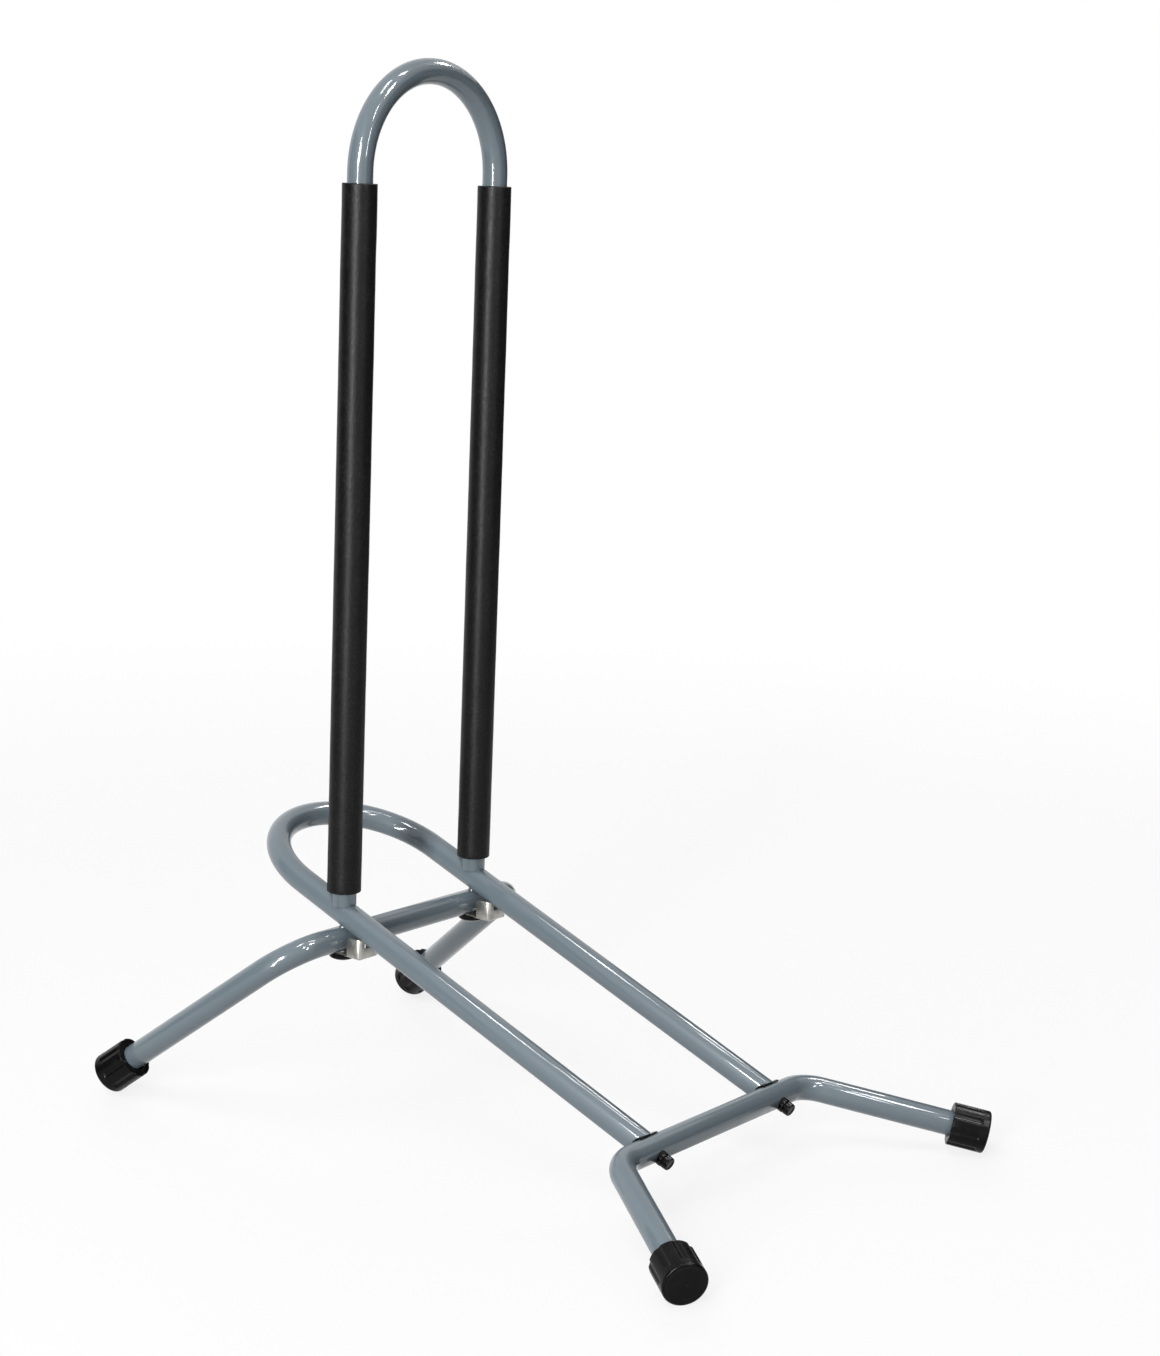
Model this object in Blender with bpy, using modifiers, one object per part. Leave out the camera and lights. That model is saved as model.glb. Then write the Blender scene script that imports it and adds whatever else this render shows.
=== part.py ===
# Bike parking stand: a U-shaped base frame, a padded hoop and two cross legs with their feet.
# Metres, +Z up, floor at z = 0, +X from the hoop towards the front feet.

import math

import bmesh
import bpy
from mathutils import Matrix, Quaternion, Vector

STAND_NAME = "bike_parking_stand"

# Tube stock, 3/4 inch steel
TUBE_DIAMETER = 0.019
TUBE_WALL = 0.0015
TUBE_SIDES = 20
BEND_STEP = math.radians(12.0)

# Base frame
UPRIGHT_SPACING = 0.149
FRAME_SLOPE = math.radians(20.3)
FRAME_LENGTH = 0.297
FRAME_TAIL = 0.044

# Hoop
STAND_HEIGHT = 0.7857
COPE_DEPTH = 0.0015

# Front cross leg
FRONT_CORNER_SPACING = 0.224
FRONT_SPLAY = math.radians(33.7)
FRONT_DROOP = math.radians(11.3)
FRONT_FOOT_LENGTH = 0.143
FRONT_BEND_RADIUS = 0.030

# Rear cross leg, whose feet turn back from the line of its middle and droop
REAR_CORNER_SPACING = 0.260
REAR_SWEEP = math.radians(74.0)
REAR_DROOP = math.radians(37.7)
REAR_BEND_RADIUS = 0.040

# Foot caps
CAP_DIAMETER = 0.032
CAP_LENGTH = 0.028
CAP_END_THICKNESS = 0.004
CAP_EDGE_RADIUS = 0.0018
CAP_MOUTH_CHAMFER = 0.0012
CAP_SIDES = 24
FLUTE_COUNT = 8
FLUTE_RADIUS = 0.0040
FLUTE_DEPTH = 0.0011
FLUTE_END_BAND = 0.006

# Foam sleeves
SLEEVE_DIAMETER = 0.026
SLEEVE_LENGTH = 0.525
SLEEVE_STANDOFF = 0.0058
SLEEVE_EDGE_RADIUS = 0.0006
SLEEVE_SIDES = 24

# Bolts and what they hold
BOLT_DIAMETER = 0.006
BOLT_TIP_CHAMFER = 0.0008
BOLT_SIDES = 16
HOLE_CLEARANCE = 0.0003
FRONT_HEAD_DIAMETER = 0.0078
FRONT_HEAD_HEIGHT = 0.0034
REAR_HEAD_DIAMETER = 0.0104
REAR_HEAD_HEIGHT = 0.0018
SOCKET_ACROSS_FLATS = 0.0040
SOCKET_SIDES = 6
HEAD_SOCKET_SHARE = 0.6
INSERT_LENGTH = 0.014
INSERT_SETBACK = 0.0035
INSERT_CHAMFER = 0.0008
SEAT_DIAMETER = 0.0106
SEAT_HEIGHT = 0.0035
WASHER_DIAMETER = 0.0140
WASHER_THICKNESS = 0.0010
FRONT_COVER_DIAMETER = 0.0100
REAR_COVER_DIAMETER = 0.0210
COVER_TOP_THICKNESS = 0.0012
COVER_DOME_SHARE = 0.7
COVER_DOME_STEPS = 4
EDGE_SOFTENING = 0.0005

# Front saddles
SADDLE_THICKNESS = 0.0010
SADDLE_WIDTH = 0.019
SADDLE_WRAP = math.radians(120.0)
SADDLE_STEP = math.radians(10.0)

# Rear clips
CLIP_THICKNESS = 0.0015
CLIP_WIDTH = 0.0222
CLIP_REACH = 0.0280
CLIP_EAR_LENGTH = 0.0135
CLIP_EAR_HEIGHT = 0.0167
CLIP_LIP_HEIGHT = 0.0095
CLIP_BEND_RADIUS = 0.0026
CLIP_CORNER_RADIUS = 0.0032
CUTTER_MARGIN = 0.040

# Clearance between pieces that touch on the real stand
FIT_GAP = 0.0003

# How the surfaces are divided and shaded
EDGE_STEPS = 3
SLEEVE_EDGE_STEPS = 2
SHARP_EDGE_ANGLE = math.radians(35.0)
MERGE_DISTANCE = 0.00001

# Sizes that follow from the driving ones
TUBE_RADIUS = TUBE_DIAMETER / 2
UPRIGHT_Y = UPRIGHT_SPACING / 2
CAP_RADIUS = CAP_DIAMETER / 2
CAP_REST_RADIUS = CAP_RADIUS * math.cos(math.pi / CAP_SIDES)
HOLE_RADIUS = BOLT_DIAMETER / 2 + HOLE_CLEARANCE
TUBE_SEAT_RADIUS = TUBE_RADIUS + FIT_GAP
SADDLE_SEAT_RADIUS = TUBE_SEAT_RADIUS + SADDLE_THICKNESS + FIT_GAP

# Lengths along X, Y and Z of one unit of a right foot's axis, from its corner to its end
FRONT_FOOT_AXIS = Vector((math.cos(FRONT_SPLAY) * math.cos(FRONT_DROOP),
                          math.sin(FRONT_SPLAY) * math.cos(FRONT_DROOP), -math.sin(FRONT_DROOP)))
REAR_FOOT_AXIS = Vector((-math.sin(REAR_SWEEP) * math.cos(REAR_DROOP),
                         math.cos(REAR_SWEEP) * math.cos(REAR_DROOP), -math.sin(REAR_DROOP)))


def cap_end_height(foot_axis):
    # height of the middle of a cap's end when the end's rounded lower edge touches the floor
    level = math.sqrt(1 - foot_axis.z ** 2)
    return (CAP_REST_RADIUS - CAP_EDGE_RADIUS) * level + CAP_EDGE_RADIUS * (1 + foot_axis.z)


def cap_reach(foot_axis, length):
    # how far a foot and its cap reach along X from the corner of the leg
    along = abs(foot_axis.x)
    return ((length - CAP_EDGE_RADIUS) * along + CAP_EDGE_RADIUS
            + (CAP_REST_RADIUS - CAP_EDGE_RADIUS) * math.sqrt(1 - along ** 2))


# Heights of the tubes' centrelines
FRONT_LEG_Z = cap_end_height(FRONT_FOOT_AXIS) - FRONT_FOOT_LENGTH * FRONT_FOOT_AXIS.z
FRAME_Z = FRONT_LEG_Z + FRAME_LENGTH * math.tan(FRAME_SLOPE)
FRAME_CROWN_Z = FRAME_Z + TUBE_SEAT_RADIUS / math.cos(FRAME_SLOPE)
REAR_LEG_Z = FRAME_Z - (TUBE_DIAMETER + FIT_GAP) / math.cos(FRAME_SLOPE)
HOOP_TOP_Z = STAND_HEIGHT - TUBE_RADIUS
REAR_FOOT_LENGTH = (REAR_LEG_Z - cap_end_height(REAR_FOOT_AXIS)) / -REAR_FOOT_AXIS.z

# The middle of the stand's length lies at x = 0
FRONT_REACH = FRAME_LENGTH + cap_reach(FRONT_FOOT_AXIS, FRONT_FOOT_LENGTH)
REAR_REACH = cap_reach(REAR_FOOT_AXIS, REAR_FOOT_LENGTH)
UPRIGHT_X = (REAR_REACH - FRONT_REACH) / 2
FRONT_X = UPRIGHT_X + FRAME_LENGTH

# Directions in which the bolt heads stand off the tubes
FRAME_FORWARD = Vector((math.cos(FRAME_SLOPE), 0, -math.sin(FRAME_SLOPE)))
DOWN = Vector((0, 0, -1))
SIDES = {"left": -1, "right": 1}

# Which way the local axes of a flat outline point when it is seen from each direction
FROM_THE_SIDE = (Vector((1, 0, 0)), Vector((0, 0, 1)), Vector((0, -1, 0)))
FROM_THE_FRONT = (Vector((0, 1, 0)), Vector((0, 0, 1)), Vector((1, 0, 0)))
FROM_ABOVE = (Vector((1, 0, 0)), Vector((0, 1, 0)), Vector((0, 0, 1)))


def clear_scene():
    for item in list(bpy.data.objects):
        bpy.data.objects.remove(item, do_unlink=True)


def make_collection(name):
    collection = bpy.data.collections.new(name)
    bpy.context.scene.collection.children.link(collection)
    return collection


def make_material(name, colour, roughness, metallic=0.0):
    material = bpy.data.materials.new(name)
    material.use_nodes = True
    shader = material.node_tree.nodes["Principled BSDF"]
    shader.inputs["Base Color"].default_value = (*colour, 1)
    shader.inputs["Roughness"].default_value = roughness
    shader.inputs["Metallic"].default_value = metallic
    material.diffuse_color = (*colour, 1)
    return material


clear_scene()
parts = make_collection(STAND_NAME)
cutters = make_collection("cutters")

slate_paint = make_material("slate_paint", (0.22, 0.27, 0.30), 0.3, 0.2)
black_foam = make_material("black_foam", (0.012, 0.012, 0.013), 0.85)
black_rubber = make_material("black_rubber", (0.018, 0.018, 0.020), 0.5)
black_plastic = make_material("black_plastic", (0.010, 0.010, 0.010), 0.35)
zinc_plate = make_material("zinc_plate", (0.62, 0.61, 0.58), 0.3, 1.0)
bright_steel = make_material("bright_steel", (0.55, 0.55, 0.56), 0.35, 1.0)


def add_piece(name, mesh, material):
    mesh.name = name
    mesh.materials.clear()
    mesh.materials.append(material)
    piece = bpy.data.objects.new(name, mesh)
    parts.objects.link(piece)
    return piece


def add_cutter(name, mesh):
    cutter = bpy.data.objects.new(name, mesh)
    cutters.objects.link(cutter)
    cutter.hide_render = True
    cutter.display_type = "WIRE"
    return cutter


def cut(piece, cutter, operation="DIFFERENCE"):
    boolean = piece.modifiers.new(cutter.name, "BOOLEAN")
    boolean.operation = operation
    boolean.solver = "EXACT"
    boolean.object = cutter


def thicken(piece, thickness, offset):
    wall = piece.modifiers.new("wall", "SOLIDIFY")
    wall.thickness = thickness
    wall.offset = offset
    wall.use_even_offset = True


def stand_along(piece, place, direction, spin=0.0):
    # local +Z along the direction, local +Y as near to upright as it can be
    aim = direction.to_track_quat("Z", "Y") @ Quaternion((0, 0, 1), spin)
    piece.location = place
    piece.rotation_mode = "QUATERNION"
    piece.rotation_quaternion = aim


def shade(mesh):
    mesh.shade_smooth()
    mesh.set_sharp_from_angle(angle=SHARP_EDGE_ANGLE)


def evaluated_mesh(item):
    depsgraph = bpy.context.evaluated_depsgraph_get()
    mesh = bpy.data.meshes.new_from_object(item.evaluated_get(depsgraph))
    weld(mesh)
    shade(mesh)
    return mesh


def curve_mesh(curve):
    guide = bpy.data.objects.new("guide", curve)
    parts.objects.link(guide)
    mesh = evaluated_mesh(guide)
    bpy.data.objects.remove(guide, do_unlink=True)
    bpy.data.curves.remove(curve)
    return mesh


def weld(mesh):
    shape = bmesh.new()
    shape.from_mesh(mesh)
    bmesh.ops.remove_doubles(shape, verts=shape.verts, dist=MERGE_DISTANCE)
    shape.to_mesh(mesh)
    shape.free()


def poly_curve(points, dimensions):
    curve = bpy.data.curves.new("guide", "CURVE")
    curve.dimensions = dimensions
    spline = curve.splines.new("POLY")
    spline.points.add(len(points) - 1)
    for spot, point in zip(spline.points, points):
        spot.co = (*point, 1)
    return curve


def rounded_path(corners, radius):
    # straight runs from corner to corner, each corner bent to the radius
    points = [corners[0]]
    for before, corner, after in zip(corners, corners[1:], corners[2:]):
        arriving = (corner - before).normalized()
        leaving = (after - corner).normalized()
        turn = arriving.angle(leaving)
        axis = arriving.cross(leaving).normalized()
        start = corner - arriving * radius * math.tan(turn / 2)
        centre = start + axis.cross(arriving) * radius
        steps = max(2, math.ceil(turn / BEND_STEP))
        for step in range(steps + 1):
            point = centre + Quaternion(axis, turn * step / steps) @ (start - centre)
            if (point - points[-1]).length > MERGE_DISTANCE:
                points.append(point)
    points.append(corners[-1])
    return points


def bent_tube(name, corners, bend_radius):
    curve = poly_curve(rounded_path(corners, bend_radius), "3D")
    curve.bevel_depth = TUBE_RADIUS
    curve.bevel_resolution = (TUBE_SIDES - 4) // 2
    curve.use_fill_caps = False
    tube = add_piece(name, curve_mesh(curve), slate_paint)
    thicken(tube, TUBE_WALL, -1)
    return tube


def ribbon(points, width):
    # a strip of sheet whose edge follows the points in local X and Y, as wide as the width along local Z
    curve = poly_curve(points, "2D")
    curve.fill_mode = "NONE"
    curve.extrude = width / 2
    return curve_mesh(curve)


def slab(points, thickness):
    curve = poly_curve(points, "2D")
    curve.splines[0].use_cyclic_u = True
    curve.fill_mode = "BOTH"
    curve.extrude = thickness / 2
    return curve_mesh(curve)


def turned(name, profile, sides, material):
    # the profile's points are (radius, height), down the outside from the top and back up the inside
    mesh = bpy.data.meshes.new(name)
    edges = [(index, index + 1) for index in range(len(profile) - 1)]
    if profile[0][0] > 0:
        edges.append((len(profile) - 1, 0))
    mesh.from_pydata([(radius, 0, height) for radius, height in profile], edges, [])
    lathe = bpy.data.objects.new("lathe", mesh)
    parts.objects.link(lathe)
    screw = lathe.modifiers.new("turn", "SCREW")
    screw.axis = "Z"
    screw.steps = sides
    screw.render_steps = sides
    screw.use_merge_vertices = True
    screw.merge_threshold = MERGE_DISTANCE
    solid = evaluated_mesh(lathe)
    bpy.data.objects.remove(lathe, do_unlink=True)
    bpy.data.meshes.remove(mesh)
    return add_piece(name, solid, material)


def rounded_edge(radius, height, rounding, quarter, steps=EDGE_STEPS):
    # the points of one rounded edge of a turned piece; quarter 0 is the outer top, 1 the outer bottom
    centre_height = height - rounding if quarter == 0 else height + rounding
    first = math.pi / 2 if quarter == 0 else 0.0
    angles = [first - math.pi / 2 * step / steps for step in range(steps + 1)]
    return [(radius - rounding + rounding * math.cos(angle), centre_height + rounding * math.sin(angle))
            for angle in angles]


def cylinder_mesh(radius, length, sides):
    shape = bmesh.new()
    bmesh.ops.create_cone(shape, cap_ends=True, segments=sides, radius1=radius, radius2=radius, depth=length)
    mesh = bpy.data.meshes.new("cylinder")
    shape.to_mesh(mesh)
    shape.free()
    return mesh


def frame_point(distance, y):
    # a point in the sloping plane of the base frame, measured along the slope from the front leg's axis
    return Vector((FRONT_X, y, FRONT_LEG_Z)) - FRAME_FORWARD * distance


def rear_axis_point(side):
    return Vector((UPRIGHT_X, SIDES[side] * UPRIGHT_Y, REAR_LEG_Z))


def front_axis_point(side):
    return Vector((FRONT_X, SIDES[side] * UPRIGHT_Y, FRONT_LEG_Z))


def make_base_frame(upright_bolt_cutters):
    back = FRAME_LENGTH / math.cos(FRAME_SLOPE) + FRAME_TAIL + UPRIGHT_Y
    corners = [frame_point(0, -UPRIGHT_Y), frame_point(back, -UPRIGHT_Y),
               frame_point(back, UPRIGHT_Y), frame_point(0, UPRIGHT_Y)]
    frame = bent_tube("base_frame", corners, UPRIGHT_Y)
    seat = add_cutter("front_saddle_cutter",
                      cylinder_mesh(SADDLE_SEAT_RADIUS, UPRIGHT_SPACING + 2 * TUBE_DIAMETER, TUBE_SIDES))
    stand_along(seat, Vector((FRONT_X, 0, FRONT_LEG_Z)), Vector((0, 1, 0)))
    cut(frame, seat)
    for cutter in upright_bolt_cutters:
        cut(frame, cutter)


def make_hoop():
    foot = FRAME_CROWN_Z - TUBE_RADIUS * math.tan(FRAME_SLOPE) - COPE_DEPTH
    corners = [Vector((UPRIGHT_X, -UPRIGHT_Y, foot)), Vector((UPRIGHT_X, -UPRIGHT_Y, HOOP_TOP_Z)),
               Vector((UPRIGHT_X, UPRIGHT_Y, HOOP_TOP_Z)), Vector((UPRIGHT_X, UPRIGHT_Y, foot))]
    hoop = bent_tube("hoop", corners, UPRIGHT_Y)
    for side, sign in SIDES.items():
        cope = add_cutter(f"cope_cutter_{side}",
                          cylinder_mesh(TUBE_SEAT_RADIUS, 4 * TUBE_DIAMETER, TUBE_SIDES))
        stand_along(cope, Vector((UPRIGHT_X, sign * UPRIGHT_Y, FRAME_Z)), FRAME_FORWARD)
        cut(hoop, cope)


def foot_direction(foot_axis, side):
    return Vector((foot_axis.x, SIDES[side] * foot_axis.y, foot_axis.z))


def leg_corner(end, side):
    if end == "front":
        return Vector((FRONT_X, SIDES[side] * FRONT_CORNER_SPACING / 2, FRONT_LEG_Z))
    return Vector((UPRIGHT_X, SIDES[side] * REAR_CORNER_SPACING / 2, REAR_LEG_Z))


def make_cross_leg(end, foot_axis, foot_length, bend_radius, bolt_cutters):
    # the tube stops inside the caps, short of their closed ends
    inner_length = foot_length - CAP_END_THICKNESS - FIT_GAP
    left = leg_corner(end, "left")
    right = leg_corner(end, "right")
    corners = [left + foot_direction(foot_axis, "left") * inner_length, left,
               right, right + foot_direction(foot_axis, "right") * inner_length]
    leg = bent_tube(f"{end}_cross_leg", corners, bend_radius)
    for cutter in bolt_cutters:
        cut(leg, cutter)


def make_sleeve(side):
    bore = TUBE_SEAT_RADIUS
    outer = SLEEVE_DIAMETER / 2
    profile = rounded_edge(outer, SLEEVE_LENGTH, SLEEVE_EDGE_RADIUS, 0, SLEEVE_EDGE_STEPS)
    profile += rounded_edge(outer, 0, SLEEVE_EDGE_RADIUS, 1, SLEEVE_EDGE_STEPS)
    profile += [(bore, 0), (bore, SLEEVE_LENGTH)]
    sleeve = turned(f"foam_sleeve_{side}", profile, SLEEVE_SIDES, black_foam)
    sleeve.location = (UPRIGHT_X, SIDES[side] * UPRIGHT_Y, FRAME_CROWN_Z + SLEEVE_STANDOFF)


def flute_cutter(name):
    # long thin cylinders in a ring, half a step off the land that the cap rests on
    shape = bmesh.new()
    ring_radius = CAP_RADIUS + FLUTE_RADIUS - FLUTE_DEPTH
    length = CAP_LENGTH - FLUTE_END_BAND + FLUTE_RADIUS
    for index in range(FLUTE_COUNT):
        angle = 2 * math.pi * (index + 0.5) / FLUTE_COUNT - math.pi / CAP_SIDES
        made = bmesh.ops.create_cone(shape, cap_ends=True, segments=BOLT_SIDES, radius1=FLUTE_RADIUS,
                                     radius2=FLUTE_RADIUS, depth=length)
        offset = Vector((ring_radius * math.cos(angle), ring_radius * math.sin(angle),
                         length / 2 - FLUTE_RADIUS))
        bmesh.ops.translate(shape, verts=made["verts"], vec=offset)
    mesh = bpy.data.meshes.new(name)
    shape.to_mesh(mesh)
    shape.free()
    return add_cutter(name, mesh)


def make_cap(name, end_centre, direction):
    # the cap's mouth is at local z = 0 and its closed end at the top
    bore = TUBE_SEAT_RADIUS
    profile = [(0, CAP_LENGTH)]
    profile += rounded_edge(CAP_RADIUS, CAP_LENGTH, CAP_EDGE_RADIUS, 0)
    profile += [(CAP_RADIUS, CAP_MOUTH_CHAMFER), (CAP_RADIUS - CAP_MOUTH_CHAMFER, 0)]
    profile += [(bore + CAP_MOUTH_CHAMFER, 0), (bore, CAP_MOUTH_CHAMFER)]
    profile += [(bore, CAP_LENGTH - CAP_END_THICKNESS), (0, CAP_LENGTH - CAP_END_THICKNESS)]
    cap = turned(name, profile, CAP_SIDES, black_rubber)
    place = end_centre - direction * CAP_LENGTH
    spin = math.pi / CAP_SIDES
    stand_along(cap, place, direction, spin)
    flutes = flute_cutter(f"{name}_flutes")
    stand_along(flutes, place, direction, spin)
    cut(cap, flutes)


def make_caps(end, foot_axis, foot_length):
    for side in SIDES:
        direction = foot_direction(foot_axis, side)
        make_cap(f"foot_cap_{end}_{side}", leg_corner(end, side) + direction * foot_length, direction)


def bolt_cutter(name, axis_point, direction, reach):
    cutter = add_cutter(name, cylinder_mesh(HOLE_RADIUS, 2 * reach, BOLT_SIDES))
    stand_along(cutter, axis_point, direction)
    return cutter


def make_bolt(name, axis_point, direction, head_base, head_diameter, head_height, tip):
    # local z is the distance from the cross leg's axis, positive towards the head
    shank = BOLT_DIAMETER / 2
    head_top = head_base + head_height
    profile = [(0, head_top)]
    profile += rounded_edge(head_diameter / 2, head_top, EDGE_SOFTENING, 0)
    profile += [(head_diameter / 2, head_base), (shank, head_base)]
    profile += [(shank, tip + BOLT_TIP_CHAMFER), (shank - BOLT_TIP_CHAMFER, tip), (0, tip)]
    bolt = turned(name, profile, BOLT_SIDES, bright_steel)
    stand_along(bolt, axis_point, direction)
    depth = head_height * HEAD_SOCKET_SHARE
    socket_radius = SOCKET_ACROSS_FLATS / 2 / math.cos(math.pi / SOCKET_SIDES)
    socket = add_cutter(f"{name}_socket", cylinder_mesh(socket_radius, 2 * depth, SOCKET_SIDES))
    stand_along(socket, axis_point + direction * head_top, direction)
    cut(bolt, socket)


def make_insert(name, axis_point, direction, near, far):
    # local z runs away from the bolt's head, from the insert's near end to its far end
    outer = TUBE_RADIUS - TUBE_WALL - FIT_GAP
    profile = [(HOLE_RADIUS, far), (outer - INSERT_CHAMFER, far), (outer, far - INSERT_CHAMFER)]
    profile += [(outer, near + INSERT_CHAMFER), (outer - INSERT_CHAMFER, near), (HOLE_RADIUS, near)]
    insert = turned(name, profile, BOLT_SIDES, bright_steel)
    stand_along(insert, axis_point, -direction)


def make_cover(name, axis_point, direction, base, outer, pocket, pocket_top):
    # a snap-on cover: a flat-rimmed cup with a domed top
    top = pocket_top + COVER_TOP_THICKNESS
    dome_height = min(top - base, outer) * COVER_DOME_SHARE
    profile = []
    for step in range(COVER_DOME_STEPS + 1):
        angle = math.pi / 2 * (1 - step / COVER_DOME_STEPS)
        profile.append((outer * math.cos(angle), top - dome_height + dome_height * math.sin(angle)))
    profile[0] = (0, top)
    profile += [(outer, base), (pocket, base), (pocket, pocket_top), (0, pocket_top)]
    cover = turned(name, profile, BOLT_SIDES, black_plastic)
    stand_along(cover, axis_point, direction)


def make_front_joint(side, cutter):
    axis_point = front_axis_point(side)
    make_saddle(side, cutter)
    seat_top = TUBE_SEAT_RADIUS + SEAT_HEIGHT
    seat_radius = SEAT_DIAMETER / 2
    rim_base = math.sqrt(TUBE_RADIUS ** 2 - seat_radius ** 2)
    profile = [(HOLE_RADIUS, seat_top)]
    profile += rounded_edge(seat_radius, seat_top, EDGE_SOFTENING, 0)
    profile += [(seat_radius, rim_base), (HOLE_RADIUS, rim_base)]
    seat = turned(f"bolt_seat_front_{side}", profile, BOLT_SIDES, black_plastic)
    stand_along(seat, axis_point, FRAME_FORWARD)
    tube = add_cutter(f"bolt_seat_cutter_{side}",
                      cylinder_mesh(TUBE_SEAT_RADIUS, 2 * TUBE_DIAMETER, TUBE_SIDES))
    stand_along(tube, axis_point, Vector((0, 1, 0)))
    cut(seat, tube)
    near = SADDLE_SEAT_RADIUS + INSERT_SETBACK
    far = near + INSERT_LENGTH
    head_base = seat_top + FIT_GAP
    make_bolt(f"bolt_front_{side}", axis_point, FRAME_FORWARD, head_base, FRONT_HEAD_DIAMETER,
              FRONT_HEAD_HEIGHT, -far)
    make_insert(f"insert_front_{side}", axis_point, FRAME_FORWARD, near, far)
    make_cover(f"bolt_cover_front_{side}", axis_point, FRAME_FORWARD, head_base, FRONT_COVER_DIAMETER / 2,
               FRONT_HEAD_DIAMETER / 2 + FIT_GAP, head_base + FRONT_HEAD_HEIGHT + FIT_GAP)


def make_rear_joint(side, cutter):
    axis_point = rear_axis_point(side)
    make_clip(side, cutter)
    washer_base = TUBE_SEAT_RADIUS + CLIP_THICKNESS + FIT_GAP
    washer_top = washer_base + WASHER_THICKNESS
    washer_radius = WASHER_DIAMETER / 2
    profile = [(HOLE_RADIUS, washer_top), (washer_radius, washer_top), (washer_radius, washer_base),
               (HOLE_RADIUS, washer_base)]
    washer = turned(f"washer_rear_{side}", profile, BOLT_SIDES, zinc_plate)
    stand_along(washer, axis_point, DOWN)
    near = FRAME_CROWN_Z + INSERT_SETBACK - REAR_LEG_Z
    far = near + INSERT_LENGTH
    head_base = washer_top + FIT_GAP
    make_bolt(f"bolt_rear_{side}", axis_point, DOWN, head_base, REAR_HEAD_DIAMETER, REAR_HEAD_HEIGHT, -far)
    make_insert(f"insert_hoop_{side}", axis_point, DOWN, near, far)
    make_cover(f"bolt_cover_rear_{side}", axis_point, DOWN, washer_base, REAR_COVER_DIAMETER / 2,
               washer_radius + FIT_GAP, head_base + REAR_HEAD_HEIGHT + FIT_GAP)


def make_saddle(side, cutter):
    # a thin curved pad between the coped end of the base frame and the front cross leg
    middle = TUBE_SEAT_RADIUS + SADDLE_THICKNESS / 2
    steps = math.ceil(SADDLE_WRAP / SADDLE_STEP)
    points = []
    for step in range(steps + 1):
        angle = SADDLE_WRAP * (step / steps - 0.5)
        points.append(Vector((middle * math.cos(angle), middle * math.sin(angle), 0)))
    saddle = add_piece(f"saddle_front_{side}", ribbon(points, SADDLE_WIDTH), black_plastic)
    thicken(saddle, SADDLE_THICKNESS, 0)
    across = Vector((0, 1, 0))
    backward = -FRAME_FORWARD
    saddle.rotation_mode = "QUATERNION"
    saddle.rotation_quaternion = axes_rotation(backward, across.cross(backward), across)
    saddle.location = front_axis_point(side)
    cut(saddle, cutter)


def axes_rotation(local_x, local_y, local_z):
    rotation = Matrix((local_x, local_y, local_z)).transposed()
    return rotation.to_quaternion()


def make_clip(side, cutter):
    # a pressed tray: a tab under the rear leg, two ears beside the base frame, a lower lip in front
    tab_top = -TUBE_SEAT_RADIUS
    bottom = tab_top - CLIP_THICKNESS
    tab_end = -WASHER_DIAMETER / 2
    ear_back = CLIP_REACH - CLIP_EAR_LENGTH
    ear_top = bottom + CLIP_EAR_HEIGHT
    lip_top = bottom + CLIP_LIP_HEIGHT
    side_view = rounded_path([Vector((tab_end, bottom, 0)), Vector((CLIP_REACH, bottom, 0)),
                              Vector((CLIP_REACH, ear_top, 0))], CLIP_BEND_RADIUS)
    side_view += rounded_path([Vector((CLIP_REACH, ear_top, 0)), Vector((ear_back, ear_top, 0)),
                               Vector((ear_back, tab_top, 0)), Vector((tab_end, tab_top, 0))],
                              CLIP_BEND_RADIUS)[1:]
    clip = add_piece(f"clip_rear_{side}", slab(side_view, CLIP_WIDTH), zinc_plate)
    inner_front = CLIP_REACH - CLIP_THICKNESS
    hollow = rounded_path([Vector((tab_end - CUTTER_MARGIN, tab_top, 0)), Vector((inner_front, tab_top, 0)),
                           Vector((inner_front, lip_top, 0))], CLIP_BEND_RADIUS - CLIP_THICKNESS)
    hollow += [Vector((CLIP_REACH + CUTTER_MARGIN, lip_top, 0)),
               Vector((CLIP_REACH + CUTTER_MARGIN, lip_top + CUTTER_MARGIN, 0)),
               Vector((tab_end - CUTTER_MARGIN, lip_top + CUTTER_MARGIN, 0))]
    place_clip_shape(clip, side, FROM_THE_SIDE)
    hollow_width = CLIP_WIDTH - 2 * CLIP_THICKNESS
    cut_clip(clip, side, "hollow", slab(hollow, hollow_width), FROM_THE_SIDE, "DIFFERENCE")
    half = CLIP_WIDTH / 2 + FIT_GAP
    tab_half = WASHER_DIAMETER / 2
    front_view = rounded_path([Vector((-half, CUTTER_MARGIN, 0)), Vector((-half, bottom, 0)),
                               Vector((half, bottom, 0)), Vector((half, CUTTER_MARGIN, 0))],
                              CLIP_CORNER_RADIUS + FIT_GAP)
    cut_clip(clip, side, "corners", slab(front_view, 2 * CUTTER_MARGIN), FROM_THE_FRONT, "INTERSECT")
    plan = [Vector((tab_end - FIT_GAP, -tab_half, 0)), Vector((TUBE_SEAT_RADIUS, -tab_half, 0)),
            Vector((ear_back - FIT_GAP, -half, 0)), Vector((CLIP_REACH + FIT_GAP, -half, 0)),
            Vector((CLIP_REACH + FIT_GAP, half, 0)), Vector((ear_back - FIT_GAP, half, 0)),
            Vector((TUBE_SEAT_RADIUS, tab_half, 0)), Vector((tab_end - FIT_GAP, tab_half, 0))]
    cut_clip(clip, side, "plan", slab(plan, 2 * CUTTER_MARGIN), FROM_ABOVE, "INTERSECT")
    cut(clip, cutter)


def place_clip_shape(item, side, view):
    item.rotation_mode = "QUATERNION"
    item.rotation_quaternion = axes_rotation(*view)
    item.location = rear_axis_point(side)


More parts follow.
